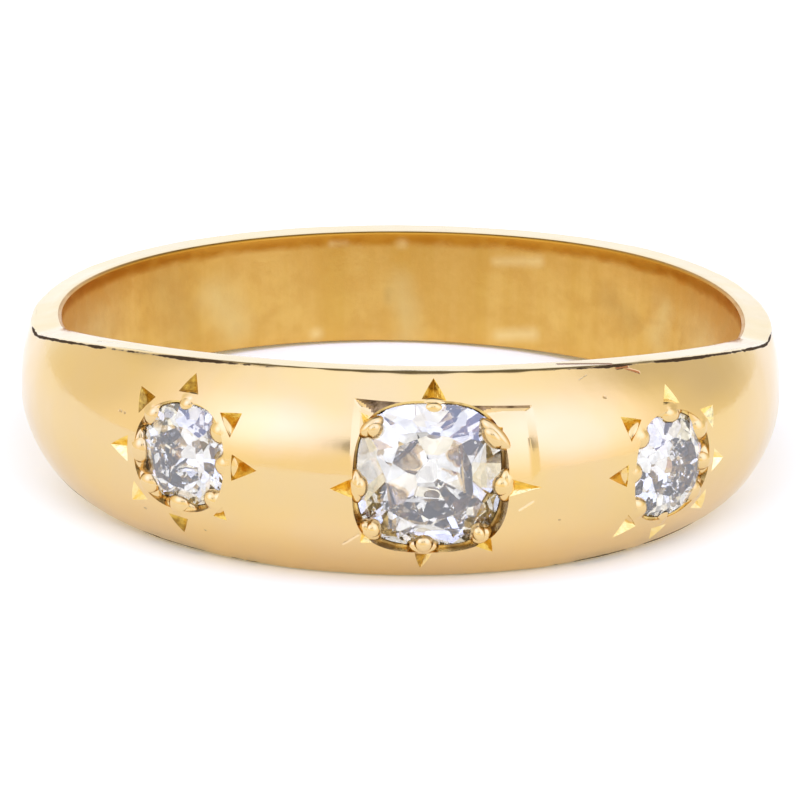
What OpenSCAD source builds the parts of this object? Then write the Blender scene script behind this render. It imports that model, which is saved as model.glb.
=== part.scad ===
// Flush set gypsy ring: a tapering gold band with three old mine cut stones
// sunk in its head, each in a star of eight engraved cuts and gold grains.
// The ring lies on its side as it rests, with the head towards -Y.

/* [Finger hole] */
// Inner diameter of the ring
bore_d = 17; // [14:0.25:22]
// Radial size of the softened edge at the mouth of the finger hole
bevel_r = 0.14; // [0.05:0.01:0.25]
// Axial size of the same softened edge
bevel_h = 0.07; // [0.02:0.01:0.15]

/* [Band] */
// Width of the head, along the finger
head_w = 4.97; // [4.6:0.01:6]
// Width of the shank, along the finger
shank_w = 2.99; // [2.2:0.01:3.8]
// Angle to either side of the head at which the taper ends
taper_angle = 76.5; // [65:0.5:90]
// Fullness of the taper: higher keeps the head wide for longer
taper_fullness = 2.43; // [2:0.01:3]
// Softness of the bend where the taper ends
taper_blend = 0.03; // [0.02:0.01:0.3]
// Thickness at the middle of the head
head_t = 2.1; // [2:0.02:2.5]
// Thickness at the sides
side_t = 0.95; // [0.9:0.01:1.4]
// Thickness at the back
back_t = 1.1; // [1:0.02:1.5]
// Width of the flat edge at the head
head_land = 0.62; // [0.4:0.01:0.7]
// Width of the flat edge at the sides
side_land = 0.76; // [0.6:0.01:0.85]
// Width of the flat edge at the back
back_land = 0.85; // [0.65:0.01:0.95]
// Fullness of the domed outside: higher is flatter with steeper edges
dome_fullness = 2.25; // [2:0.05:3.4]

/* [Wear] */
// Depth worn off the outer edge of the flats on the left
left_wear = 0.15; // [0:0.01:0.3]
// Depth worn off the outer edge of the flats on the right
right_wear = 0.1; // [0:0.01:0.3]
// Angle of the worst wear to either side of the head
wear_angle = 90; // [60:1:120]
// Angle over which the wear fades to either side
wear_spread = 33.5; // [20:0.5:60]
// Height by which the upper edge stands up at the back right
shoulder_rise = 0.16; // [0:0.01:0.3]
// Angle of that raised place, from the middle of the head
shoulder_angle = 128; // [90:1:170]
// Angle over which it fades to either side
shoulder_spread = 43.5; // [20:0.5:60]

/* [Centre stone] */
// Width of the centre stone, round the ring
centre_stone_w = 3.36; // [3:0.02:3.6]
// Height of the centre stone, along the finger
centre_stone_h = 3.4; // [3:0.02:3.6]
// Squareness of the centre stone's outline: 2 is round
centre_squareness = 2.9; // [2:0.1:4]
// Angle of the centre stone from the middle of the head
centre_stone_angle = 3.8; // [0:0.1:8]
// Height of the centre stone's middle above the middle of the band
centre_stone_lift = 0.17; // [-0.2:0.01:0.2]

/* [Filed bed round the centre stone] */
// Distance from the stone's middle to the bed's left side
bed_left = 1.94; // [1.9:0.01:2.1]
// Distance from the stone's middle to its right side
bed_right = 2.56; // [2.3:0.01:2.7]
// Distance from the stone's middle up to its top side
bed_top = 1.72; // [1.7:0.01:1.85]
// Distance from the stone's middle down to where it has faded out
bed_bottom = 1.2; // [0.8:0.05:1.6]
// Depth of the bed at its top side
bed_depth = 0.08; // [0.04:0.01:0.1]

/* [Left stone] */
// Width of the left stone, round the ring
left_stone_w = 2.38; // [2:0.02:2.6]
// Height of the left stone, along the finger
left_stone_h = 2.42; // [2:0.02:2.6]
// Angle of the left stone from the middle of the head
left_stone_angle = -30.6; // [-36:0.1:-28]
// Height of the left stone's middle above the middle of the band
left_stone_lift = 0.22; // [-0.2:0.01:0.25]

/* [Right stone] */
// Width of the right stone, round the ring
right_stone_w = 2.34; // [2:0.02:2.6]
// Height of the right stone, along the finger
right_stone_h = 2.5; // [2:0.02:2.6]
// Angle of the right stone from the middle of the head
right_stone_angle = 39.4; // [38:0.1:46]
// Height of the right stone's middle above the middle of the band
right_stone_lift = -0.11; // [-0.2:0.01:0.2]
// Squareness of both side stones' outlines: 2 is round
side_squareness = 2.3; // [2:0.1:4]

/* [Cut of the stones] */
// Table across, as a share of the stone's width
table_share = 0.58; // [0.45:0.01:0.65]
// Crown height, as a share of the stone's width
crown_share = 0.14; // [0.1:0.01:0.16]
// Girdle thickness
girdle_t = 0.06; // [0.04:0.01:0.12]
// Pavilion depth, as a share of the stone's width
pavilion_share = 0.34; // [0.25:0.01:0.34]
// Culet across, as a share of the stone's width
culet_share = 0.2; // [0.08:0.01:0.25]
// Extra steepness of the small facets next to the girdle, in degrees
girdle_facet_lean = 2.5; // [2:0.5:5]

/* [Setting] */
// Depth of the girdle under the metal at the stone's top and bottom
girdle_depth = 0.06; // [0.04:0.01:0.15]
// Gap between a stone and the metal
stone_gap = 0.03; // [0.02:0.01:0.05]
// Width of the bare wall round the stone above its girdle
seat_wall = 0.1; // [0.05:0.01:0.14]
// Open back hole across, as a share of the stone's width
back_hole_share = 0.5; // [0.35:0.01:0.6]
// Radius of a gold grain
grain_r = 0.24; // [0.18:0.01:0.27]
// Height of a grain's top above the metal round it
grain_rise = 0.04; // [0:0.01:0.08]
// Distance of a grain's middle outside the stone's edge
grain_out = 0.05; // [0.03:0.01:0.08]
// Depth to which a grain's root goes down past the stone's girdle
grain_root = 0.1; // [0.05:0.01:0.2]
// Width of a star cut at its near end
cut_w = 0.6; // [0.4:0.01:0.66]
// Depth of a star cut
cut_depth = 0.26; // [0.15:0.01:0.32]

/* [Hidden] */

bore_r = bore_d / 2;

// Sections round the ring, and panels across the dome in each
sections = 120;
dome_panels = 14;
section_step = 360 / sections;

// Stones as [angle, lift, half width, half height, squareness]
centre_stone_at = [centre_stone_angle, centre_stone_lift, centre_stone_w / 2, centre_stone_h / 2, centre_squareness];
left_stone_at = [left_stone_angle, left_stone_lift, left_stone_w / 2, left_stone_h / 2, side_squareness];
right_stone_at = [right_stone_angle, right_stone_lift, right_stone_w / 2, right_stone_h / 2, side_squareness];
ANGLE = 0;
LIFT = 1;
HALF_W = 2;
HALF_H = 3;
SQUARE = 4;

// Star cuts as [direction from the right of the stone, near end and far end as shares of the stone's half width,
// share of cut_w, share of cut_depth]
centre_cuts = [
    [-4, 1.11, 1.56, 0.75, 0.85], [35, 1.18, 1.36, 0.95, 0.75], [87, 1.07, 1.31, 1.05, 0.9],
    [138, 1.18, 1.49, 0.85, 0.9], [184, 1.04, 1.40, 0.9, 0.9], [223, 1.18, 1.35, 0.75, 0.75],
    [266, 1.10, 1.40, 0.7, 0.75], [311, 1.19, 1.46, 0.7, 0.7]
];
left_cuts = [
    [1, 1.27, 1.80, 1.05, 1], [38, 1.29, 1.70, 1.05, 1], [91, 1.23, 1.57, 1, 0.9],
    [138, 1.29, 1.73, 0.95, 1], [182, 1.30, 1.80, 1.05, 0.9], [221, 1.32, 1.77, 0.9, 0.85],
    [265, 1.27, 1.68, 0.95, 0.9], [314, 1.33, 1.58, 0.7, 0.85]
];
right_cuts = [
    [-4, 1.27, 1.66, 0.95, 0.75], [36, 1.36, 1.73, 1.05, 0.85], [85, 1.27, 1.63, 0.95, 0.85],
    [137, 1.36, 1.81, 1, 1], [177, 1.29, 1.75, 0.9, 0.9], [226, 1.37, 1.88, 0.95, 0.85],
    [271, 1.34, 1.69, 0.9, 0.75], [319, 1.37, 1.86, 0.95, 0.75]
];
TURN = 0;
NEAR = 1;
FAR = 2;
BROAD = 3;
DEEP = 4;

// Band form as functions of the angle from the middle of the head

// Quadratic in the cosine through a value at the head, the sides and the back
function round_blend(angle, head, side, back) =
    side + (head - back) / 2 * cos(angle) + ((head + back) / 2 - side) * pow(cos(angle), 2);

// Signed angle in the range -180 to 180
function wrap(angle) = angle - 360 * round(angle / 360);

// A ramp that is zero below zero, with a soft foot
function soft_ramp(x) = x > 20 * taper_blend ? x : taper_blend * ln(1 + exp(x / taper_blend));

function taper(angle) =
    soft_ramp(1 - pow(abs(wrap(angle)) / taper_angle, taper_fullness)) / soft_ramp(1);
function half_width(angle) = (shank_w + (head_w - shank_w) * taper(angle)) / 2;
function thickness(angle) = round_blend(angle, head_t, side_t, back_t);
function land(angle) = round_blend(angle, head_land, side_land, back_land);
function swell(angle, middle, spread) = exp(-pow(wrap(angle - middle) / spread, 2));
function wear(angle) =
    left_wear * swell(angle, -wear_angle, wear_spread) + right_wear * swell(angle, wear_angle, wear_spread);
function rise(angle) = shoulder_rise * swell(angle, shoulder_angle, shoulder_spread);

// Heights of the upper and the lower flat, and of their outer edges
function top_height(angle) = half_width(angle) + rise(angle);
function edge_height(angle, z) = (z > 0 ? top_height(angle) : half_width(angle)) - wear(angle);

// Radius of the domed outside at an angle and a height
function skin_r(angle, z) =
    bore_r + land(angle)
    + (thickness(angle) - land(angle)) * (1 - pow(min(1, abs(z) / edge_height(angle, z)), dome_fullness));

function at(angle, r, z) = [r * sin(angle), -r * cos(angle), z];
function skin(angle, z) = at(angle, skin_r(angle, z), z);

// Outward direction of the skin, from two short steps along it
step_angle = 0.5;
step_z = 0.05;
function unit(v) = v / norm(v);
function skin_normal(angle, z) =
    unit(cross(skin(angle + step_angle, z) - skin(angle - step_angle, z),
               skin(angle, z + step_z) - skin(angle, z - step_z)));

// Section of the band as [radius, height], from the top mouth of the hole over the dome to the bottom one.
// It starts inside the hole, which is bored through afterwards.
bore_margin = 0.6;
mouth_drop = bevel_h * (1 + bore_margin / bevel_r);
function section(angle) =
    let (top = top_height(angle), bottom = half_width(angle))
    concat(
        [[bore_r - bore_margin, top - mouth_drop], [bore_r + bevel_r, top]],
        [for (i = [0 : dome_panels])
            let (share = sin(90 - 180 * i / dome_panels), z = share * edge_height(angle, share))
            [skin_r(angle, z), z]],
        [[bore_r + bevel_r, -bottom], [bore_r - bore_margin, -bottom + mouth_drop]]
    );
section_points = len(section(0));

// All points of the band, before it is laid down
band_points = [for (s = [0 : sections - 1]) for (p = section(s * section_step)) at(s * section_step, p[0], p[1])];

// How the ring lies: the wide head lifts the front, so it leans back until head and back both touch the ground
rest_lean = atan((half_width(0) - half_width(180)) / (2 * bore_r + bevel_r + back_land));
function leaned(p) =
    [p[0], p[1] * cos(rest_lean) + p[2] * sin(rest_lean), p[2] * cos(rest_lean) - p[1] * sin(rest_lean)];
leaned_points = [for (p = band_points) if (norm([p[0], p[1]]) > bore_r) leaned(p)];
rest_move = [
    -(min([for (p = leaned_points) p[0]]) + max([for (p = leaned_points) p[0]])) / 2,
    -(min([for (p = leaned_points) p[1]]) + max([for (p = leaned_points) p[1]])) / 2,
    -min([for (p = leaned_points) p[2]])
];

module lay_down() {
    translate(rest_move)
        rotate([-rest_lean, 0, 0])
            children();
}

// Plain solid of the band before anything is cut
module band_blank() {
    faces = [
        for (s = [0 : sections - 1]) for (i = [0 : section_points - 1])
            let (
                a = s * section_points + i,
                b = s * section_points + (i + 1) % section_points,
                c = (s + 1) % sections * section_points + (i + 1) % section_points,
                d = (s + 1) % sections * section_points + i
            )
            each [[a, c, b], [a, d, c]]
    ];
    polyhedron(points = band_points, faces = faces);
}

// Stone form

function crown_h(stone) = 2 * stone[HALF_W] * crown_share;
function pavilion_h(stone) = 2 * stone[HALF_W] * pavilion_share;

// Radius at which the girdle's upper edge lies
function girdle_r(stone) =
    min(skin_r(stone[ANGLE], stone[LIFT] + stone[HALF_H]), skin_r(stone[ANGLE], stone[LIFT] - stone[HALF_H]))
    - girdle_depth;

// Distance from the stone's middle to a straight edge that touches its outline from a direction
function reach(stone, turn) =
    let (q = stone[SQUARE] / (stone[SQUARE] - 1))
    pow(pow(stone[HALF_W] * abs(cos(turn)), q) + pow(stone[HALF_H] * abs(sin(turn)), q), 1 / q);

// Cushion outline of a stone, grown by a margin
outline_points = 48;
module outline(stone, margin) {
    power = 2 / stone[SQUARE];
    polygon([
        for (i = [0 : outline_points - 1])
            let (t = 360 * i / outline_points)
            [(stone[HALF_W] + margin) * sign(cos(t)) * pow(abs(cos(t)), power),
             (stone[HALF_H] + margin) * sign(sin(t)) * pow(abs(sin(t)), power)]
    ]);
}

// Takes off all that lies beyond a flat facet. The facet faces a direction and runs from a point on the
// girdle, given as [distance from the middle, height], to a point nearer the middle.
block = 12;
module facet(turn, girdle_point, inner_point) {
    run = girdle_point[0] - inner_point[0];
    rise = inner_point[1] - girdle_point[1];
    lean = rise > 0 ? atan2(run, rise) : atan2(-run, -rise);
    rotate([0, 0, turn])
        translate([girdle_point[0], 0, girdle_point[1]])
            rotate([0, -lean, 0])
                translate([0, -block / 2, -block / 2])
                    cube(block);
}

// The stone's space with its eight main facets above and eight below, grown by a margin.
// Height 0 is the girdle's upper edge.
module stone_mains(stone, margin) {
    top = crown_h(stone);
    bottom = -girdle_t - pavilion_h(stone);
    difference() {
        translate([0, 0, bottom - margin])
            linear_extrude(top - bottom + 2 * margin)
                outline(stone, margin);
        for (turn = [0 : 45 : 315]) {
            r = reach(stone, turn) + margin;
            facet(turn, [r, margin], [r * table_share / cos(22.5) + margin, top + margin]);
            facet(turn, [r, -girdle_t - margin], [r * culet_share + margin, bottom - margin]);
        }
    }
}

// Old mine cut: table, eight stars, eight mains and sixteen small facets above the girdle,
// sixteen small facets, eight mains and a culet below it
module cut_stone(stone) {
    top = crown_h(stone);
    bottom = -girdle_t - pavilion_h(stone);
    difference() {
        stone_mains(stone, 0);
        for (turn = [22.5 : 45 : 337.5]) {
            table_r = reach(stone, turn) * table_share;
            facet(turn, [table_r + top, top - top * tan(24)], [table_r, top]);
        }
        for (turn = [11.25 : 22.5 : 348.75]) {
            r = reach(stone, turn);
            crown_lean = atan2(top, r * (1 - table_share / cos(22.5))) + girdle_facet_lean;
            pavilion_lean = atan2(pavilion_h(stone), r * (1 - culet_share)) + girdle_facet_lean;
            facet(turn, [r, 0], [0, r * tan(crown_lean)]);
            facet(turn, [r, -girdle_t], [0, -girdle_t - r * tan(pavilion_lean)]);
        }
    }
}

// Puts a piece made with its middle at the girdle, facing up, in its place on the head
module on_head(stone) {
    rotate([0, 0, stone[ANGLE]])
        translate([0, -girdle_r(stone), stone[LIFT]])
            rotate([90, 0, 0])
                children();
}

// Opening above the girdle and the hole through to the finger
module seat(stone) {
    on_head(stone) {
        translate([0, 0, -girdle_t / 2])
            linear_extrude(head_t)
                outline(stone, seat_wall);
        translate([0, 0, -head_t - block / 4])
            cylinder(h = head_t + block / 4, r = stone[HALF_W] * back_hole_share, $fn = 48);
    }
}

// Angle and height on the skin of a point beside a stone
function beside(stone, turn, distance) =
    [stone[ANGLE] + asin(distance * cos(turn) / skin_r(stone[ANGLE], stone[LIFT])),
     stone[LIFT] + distance * sin(turn)];
function beside_off(stone, turn, distance, off) =
    beside(stone, turn + atan2(off, distance), norm([distance, off]));
function skin_at(place) = skin(place[0], place[1]);
function normal_at(place) = skin_normal(place[0], place[1]);

// Distance from the stone's middle to its outline in a direction
function edge_distance(stone, turn) =
    pow(pow(abs(cos(turn)) / stone[HALF_W], stone[SQUARE]) + pow(abs(sin(turn)) / stone[HALF_H], stone[SQUARE]),
        -1 / stone[SQUARE]);

// One engraved cut: a three sided pit with its deepest point near the stone and its tip pointing away
heel = 0.2;
overshoot = 1.35;
module star_cut(stone, cut) {
    near = stone[HALF_W] * cut[NEAR];
    far = stone[HALF_W] * cut[FAR];
    half = cut_w * cut[BROAD] / 2;
    deep_at = beside(stone, cut[TURN], near + heel * (far - near));
    deep = skin_at(deep_at) - cut_depth * cut[DEEP] * normal_at(deep_at);
    rim = [
        skin_at(beside(stone, cut[TURN], far)),
        skin_at(beside_off(stone, cut[TURN], near, half)),
        skin_at(beside_off(stone, cut[TURN], near, -half))
    ];
    above = [for (p = rim) deep + overshoot * (p - deep)];
    polyhedron(points = concat([deep], above), faces = [[1, 3, 2], [0, 1, 2], [0, 2, 3], [0, 3, 1]]);
}

// One grain of gold pushed over the stone's edge, with its root going down the wall to the girdle
root_share = 0.92;
module grain(stone, cut) {
    place = beside(stone, cut[TURN], edge_distance(stone, cut[TURN]) + grain_out);
    middle = skin_at(place) - (grain_r - grain_rise) * normal_at(place);
    root = middle * at(stone[ANGLE], 1, 0) - girdle_r(stone) + grain_root;
    translate(middle)
        rotate([0, 0, stone[ANGLE]])
            rotate([90, 0, 0])
                rotate_extrude($fn = 24)
                    intersection() {
                        union() {
                            circle(r = grain_r, $fn = 24);
                            translate([0, -root])
                                square([grain_r * root_share, root]);
                        }
                        translate([0, -root])
                            square([grain_r, root + grain_r]);
                    }
}

// Shallow bed filed into the skin round the centre stone. It has steps at the top, left and right sides and
// fades out downwards. Its floor follows the dome.
bed_columns = 10;
bed_rows = 6;
bed_air = 0.03;
module filed_bed() {
    stone = centre_stone_at;
    function bed_z(row) = stone[LIFT] + bed_top - (bed_top + bed_bottom) * row / bed_rows;
    function bed_angle(column) =
        beside(stone, 0, -bed_left + (bed_left + bed_right) * column / bed_columns)[0];
    function bed_drop(row) = bed_depth - (bed_depth + bed_air) * pow(row / bed_rows, 2);
    along = bed_columns + 1;
    count = along * (bed_rows + 1);
    floor_points = [
        for (row = [0 : bed_rows]) for (column = [0 : bed_columns])
            let (angle = bed_angle(column), z = bed_z(row))
            at(angle, skin_r(angle, z) - bed_drop(row), z)
    ];
    top_points = [
        for (row = [0 : bed_rows]) for (column = [0 : bed_columns])
            at(bed_angle(column), bore_r + 2 * head_t, bed_z(row))
    ];
    function two(a, b, c, d) = [[a, c, b], [a, d, c]];
    faces = [
        for (row = [0 : bed_rows - 1]) for (column = [0 : bed_columns - 1])
            let (a = row * along + column)
            each concat(
                two(a, a + 1, a + along + 1, a + along),
                two(count + a, count + a + along, count + a + along + 1, count + a + 1)
            ),
        for (column = [0 : bed_columns - 1])
            let (b = bed_rows * along + column)
            each concat(
                two(column, count + column, count + column + 1, column + 1),
                two(b, b + 1, count + b + 1, count + b)
            ),
        for (row = [0 : bed_rows - 1])
            let (c = row * along, d = c + bed_columns)
            each concat(
                two(c, c + along, count + c + along, count + c),
                two(d, count + d, count + d + along, d + along)
            )
    ];
    polyhedron(points = concat(floor_points, top_points), faces = faces);
}

module setting_cuts(stone, cuts) {
    seat(stone);
    for (cut = cuts)
        star_cut(stone, cut);
}

module grains(stone, cuts) {
    for (cut = cuts)
        grain(stone, cut);
}

module band() {
    color("goldenrod")
        lay_down()
            difference() {
                union() {
                    difference() {
                        band_blank();
                        filed_bed();
                        setting_cuts(centre_stone_at, centre_cuts);
                        setting_cuts(left_stone_at, left_cuts);
                        setting_cuts(right_stone_at, right_cuts);
                    }
                    grains(centre_stone_at, centre_cuts);
                    grains(left_stone_at, left_cuts);
                    grains(right_stone_at, right_cuts);
                }
                on_head(centre_stone_at)
                    stone_mains(centre_stone_at, stone_gap);
                on_head(left_stone_at)
                    stone_mains(left_stone_at, stone_gap);
                on_head(right_stone_at)
                    stone_mains(right_stone_at, stone_gap);
                translate([0, 0, -head_w])
                    cylinder(h = 2 * head_w, r = bore_r, $fn = 180);
            }
}

module centre_stone() {
    color("white")
        lay_down()
            on_head(centre_stone_at)
                cut_stone(centre_stone_at);
}

module left_stone() {
    color("white")
        lay_down()
            on_head(left_stone_at)
                cut_stone(left_stone_at);
}

module right_stone() {
    color("white")
        lay_down()
            on_head(right_stone_at)
                cut_stone(right_stone_at);
}

band();
centre_stone();
left_stone();
right_stone();
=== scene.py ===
"""A flush set gypsy ring: a polished gold band that lies on its side, with three old mine cut diamonds
in its head.

Sizes in the tables are in millimetres and degrees in the ring's own frame: the finger axis is z, the
head faces -y and angles round the ring count from the middle of the head. LAY puts them in the part's
frame in metres.
"""

import math

import bmesh
import bpy
import numpy as np
from mathutils import Matrix, Vector


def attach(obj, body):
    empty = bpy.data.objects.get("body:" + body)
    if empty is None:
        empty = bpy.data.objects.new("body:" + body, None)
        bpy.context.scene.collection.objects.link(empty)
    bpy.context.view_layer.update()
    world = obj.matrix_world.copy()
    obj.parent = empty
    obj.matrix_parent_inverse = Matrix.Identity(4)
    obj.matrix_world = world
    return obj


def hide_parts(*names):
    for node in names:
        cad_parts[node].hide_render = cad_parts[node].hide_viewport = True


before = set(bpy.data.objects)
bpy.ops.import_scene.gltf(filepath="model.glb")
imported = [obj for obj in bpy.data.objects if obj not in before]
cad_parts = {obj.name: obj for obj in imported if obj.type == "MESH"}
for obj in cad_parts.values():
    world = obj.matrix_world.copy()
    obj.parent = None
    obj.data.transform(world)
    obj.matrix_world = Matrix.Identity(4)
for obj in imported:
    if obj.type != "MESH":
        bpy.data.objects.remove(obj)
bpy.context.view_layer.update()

MM = 0.001

# Band
BORE_R = 8.5
BEVEL_R = 0.14
BEVEL_H = 0.07
HEAD_W = 4.97
SHANK_W = 2.99
TAPER_ANGLE = 76.5
TAPER_FULLNESS = 2.43
TAPER_BLEND = 0.03
HEAD_T, SIDE_T, BACK_T = 2.1, 0.95, 1.1
HEAD_LAND, SIDE_LAND, BACK_LAND = 0.62, 0.76, 0.85
DOME_FULLNESS = 2.25
LEFT_WEAR, RIGHT_WEAR = 0.15, 0.1
WEAR_ANGLE = 90.0
WEAR_SPREAD = 33.5
SHOULDER_RISE = 0.16
SHOULDER_ANGLE = 128.0
SHOULDER_SPREAD = 43.5
# Angles of the band's sections: half the span of the head, where they lie closer, and both steps
HEAD_SPAN = 60
HEAD_STEP, BACK_STEP = 0.4, 1.0
# Panels across the dome and across the inside
DOME_PANELS = 56
INSIDE_PANELS = 8
# Angle from which an edge of the band is drawn sharp
SHARP_ANGLE = 26
# Softened edge between the flats and the dome: its usual reach, how far that varies round the ring, and
# the waves of wear that it varies by: waves round the ring, phase and size
EDGE_ROUND = 0.075
EDGE_VARIES = 0.45
EDGE_WAVES = [(7, 1, 1.0), (17, 2, 1.0), (31, 0, 0.8), (67, 1, 0.6)]
EDGE_WAVES_FULL = 2.2
# Share of that reach by which the softened edge eats into the dome
EDGE_INTO_DOME = 0.7
# Shares of the flat at which its sections have points
FLAT_SHARES = (0.25, 0.5, 0.7, 0.84)
# Painted dark line of shade under that edge: how far below it and its reach, the angles between
# which it grows to full strength beside the head, and those between which it ends at the sides
SHADE_LINE_BELOW = 0.035
SHADE_LINE_REACH = 0.075
SHADE_LINE_WEAK, SHADE_LINE_FULL = 12, 34
SHADE_LINE_FADES, SHADE_LINE_ENDS = 80, 92

# Stones: angle round the ring, height of the middle, half width, half height, squareness of the outline
STONES = {
    "centre": {"angle": 3.8, "lift": 0.17, "half_w": 1.68, "half_h": 1.70, "square": 2.9},
    "left": {"angle": -30.6, "lift": 0.22, "half_w": 1.19, "half_h": 1.21, "square": 2.3},
    "right": {"angle": 39.4, "lift": -0.11, "half_w": 1.17, "half_h": 1.25, "square": 2.3},
}
# Crown and pavilion heights as shares of a stone's width, table and culet as shares of its outline, the
# girdle's thickness, its depth under the metal and the extra steepness of the facets next to it
CROWN_SHARE = 0.14
GIRDLE_T = 0.06
PAVILION_SHARE = 0.34
TABLE_SHARE = 0.58
CULET_SHARE = 0.2
GIRDLE_DEPTH = 0.06
GIRDLE_FACET_LEAN = 2.5
# Unevenness of the facets' directions, in degrees
STONE_TWIST = 5.0
STONE_TILT = 3.2
# Patches a millimetre of painted reflection in the stones, lighter and darker like small facets
PATCHES = 3.2
# Gap round a stone in its seat
STONE_GAP = 0.03
# Walls of a seat: margin round the stone and height above its girdle
SEAT_WALLS = [(0.08, -GIRDLE_T / 2), (0.1, 0.1), (0.2, 1.2)]
# Hole behind a stone: its size as a share of the stone's and the heights of its ends
HOLE_SHARE = 0.5
HOLE_ENDS = (-3.0, -0.2)

# Star cuts: direction from the right of the stone, near and far end as shares of the stone's half width,
# shares of CUT_W and CUT_DEPTH, and the light or shade painted on its three walls (pale, amber or dark): the
# side further round the stone, the wall next to the stone and the other side
CUT_W = 0.6
CUT_DEPTH = 0.26
CUTS = {
    "centre": [
        (-4, 1.11, 1.56, 0.75, 0.85, "app"), (35, 1.18, 1.36, 0.95, 0.75, "apd"),
        (87, 1.07, 1.31, 1.05, 0.9, "daa"), (138, 1.18, 1.49, 0.85, 0.9, "pap"),
        (184, 1.04, 1.40, 0.9, 0.9, "apa"), (223, 1.18, 1.35, 0.75, 0.75, "pap"),
        (266, 1.10, 1.40, 0.7, 0.75, "pad"), (311, 1.19, 1.46, 0.7, 0.7, "apa"),
    ],
    "left": [
        (1, 1.27, 1.80, 1.05, 1, "ada"), (38, 1.29, 1.70, 1.05, 1, "ada"),
        (91, 1.23, 1.57, 1, 0.9, "dap"), (138, 1.29, 1.73, 0.95, 1, "daa"),
        (182, 1.30, 1.80, 1.05, 0.9, "ppa"), (221, 1.32, 1.77, 0.9, 0.85, "ppp"),
        (265, 1.27, 1.68, 0.95, 0.9, "pad"), (314, 1.33, 1.58, 0.7, 0.85, "pad"),
    ],
    "right": [
        (-4, 1.27, 1.66, 0.95, 0.75, "ppp"), (36, 1.36, 1.73, 1.05, 0.85, "pap"),
        (85, 1.27, 1.63, 0.95, 0.85, "pap"), (137, 1.36, 1.81, 1, 1, "aaa"),
        (177, 1.29, 1.75, 0.9, 0.9, "aad"), (226, 1.37, 1.88, 0.95, 0.85, "pdp"),
        (271, 1.34, 1.69, 0.9, 0.75, "ppp"), (319, 1.37, 1.86, 0.95, 0.75, "pap"),
    ],
}
TONES = "pad"
# Where a cut is deepest, as a share of its length, and how far its cutter goes on above the skin
CUT_HEEL = 0.2
CUT_OVERSHOOT = 1.4

# Grains: how far one reaches over the stone, into its cut and at least outwards from the stone's edge, half
# width as a share of its cut's width, half thickness, height above the skin, lean towards its outer end and
# how far their sizes vary
GRAIN_OVER = 0.2
GRAIN_BEHIND = 0.06
GRAIN_OUT = 0.16
GRAIN_WIDE = 0.5
GRAIN_HALF_T = 0.24
GRAIN_RISE = 0.035
GRAIN_LEAN = 7.0
GRAIN_VARIES = 0.14
# The broad low root behind each grain: how much further out, half width as a share of the cut's width and
# height above the skin
ROOT_OUT = 0.1
ROOT_WIDE = 0.8
ROOT_RISE = 0.012

# Bed filed round the centre stone: sides from the stone's middle, height of its top side at both ends,
# depth, run of its sloping sides, run of the upper slope and what is added over the stone's corners, those
# corners (place, spread and share of what is added), where that slope is shaded in full, the share of it
# that is shaded elsewhere, and the heights between which the bed fades out
BED_LEFT, BED_RIGHT = 1.92, 2.58
BED_TOP_LEFT, BED_TOP_RIGHT = 1.80, 1.62
BED_DEPTH = 0.1
BED_SLOPE = 0.19
BED_LINE, BED_CORNER = 0.07, 0.26
BED_CORNERS = [(-0.95, 0.6, 1.0), (0.95, 0.5, 0.6)]
BED_SHADES = [(-1.9, -0.1), (0.2, 1.5)]
BED_SHADE_ENDS = 0.4
BED_SHADE_LEAST = 0.3
BED_FADE_LOW, BED_FADE_HIGH = -0.7, 1.1
# Its cutter: how far it goes on below the bed, how much closer its rows lie at the top, how far it stays
# off the skin where nothing is filed and how far it stands above the skin
BED_PAST = 0.3
BED_CROWDING = 1.4
BED_OFF_SKIN = 0.004
BED_ABOVE = 0.4

# Wear marks, each from one place to another: angle, height, radius, the same again, and half width. A radius
# of 0 is on the skin and BORE_R is inside the finger hole. A larger one is on the upper flat, which gives
# the height
COPPERY_MARKS = [
    (24.5, 0, 8.82, 32.5, 0, 9.1, 0.06),
    (31.0, 0, 9.05, 36.5, 2.12, 0, 0.04),
    (33.0, 2.27, 0, 35.0, 2.27, 0, 0.035),
]
# Bright marks: scratches and dents whose paleness is a painted glint
BRIGHT_MARKS = [
    (15.3, -0.53, 0, 17.0, -0.35, 0, 0.035),
    (-7.5, -1.45, 0, -5.4, -1.15, 0, 0.03),
    (26.0, 2.17, 0, 27.5, 2.24, 0, 0.008),
    (-55.0, 0, 8.9, -46.0, 0, 8.75, 0.035),
]
DARK_MARKS = [
    (-41.6, 0.97, 0, -41.3, 0.96, 0, 0.03),
    (-40.7, 0.96, 0, -40.5, 0.95, 0, 0.022),
    (-37.4, -1.30, 0, -37.2, -1.31, 0, 0.03),
    (29.0, 1.78, 0, 29.2, 1.77, 0, 0.03),
    (-27.5, -1.55, 0, -27.4, -1.56, 0, 0.025),
    (21.0, -0.9, 0, 21.1, -0.9, 0, 0.022),
]
# Small bright rubbed places, broad worn bands and browner patches inside the finger hole
PALE_INSIDE_MARKS = [
    (195.1, -1.25, BORE_R, 195.3, -1.25, BORE_R, 0.11),
    (161.5, -1.17, BORE_R, 155.3, -1.02, BORE_R, 0.13),
    (162.5, 0.86, BORE_R, 154.5, 1.0, BORE_R, 0.11),
    (192.5, 1.22, BORE_R, 190.0, 1.24, BORE_R, 0.07),
    (179.8, 1.23, BORE_R, 179.6, 1.23, BORE_R, 0.1),
]
SEAM_MARKS = [
    (179.7, 0.1, BORE_R, 178.8, -1.3, BORE_R, 0.28),
    (215.3, 0.11, BORE_R, 211.0, -0.87, BORE_R, 0.4),
    (125.7, 0.5, BORE_R, 127.5, -0.4, BORE_R, 0.3),
    (264.0, 1.0, BORE_R, 246.0, 0.2, BORE_R, 0.7),
    (96.0, 1.0, BORE_R, 114.0, 0.2, BORE_R, 0.7),
]
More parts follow.
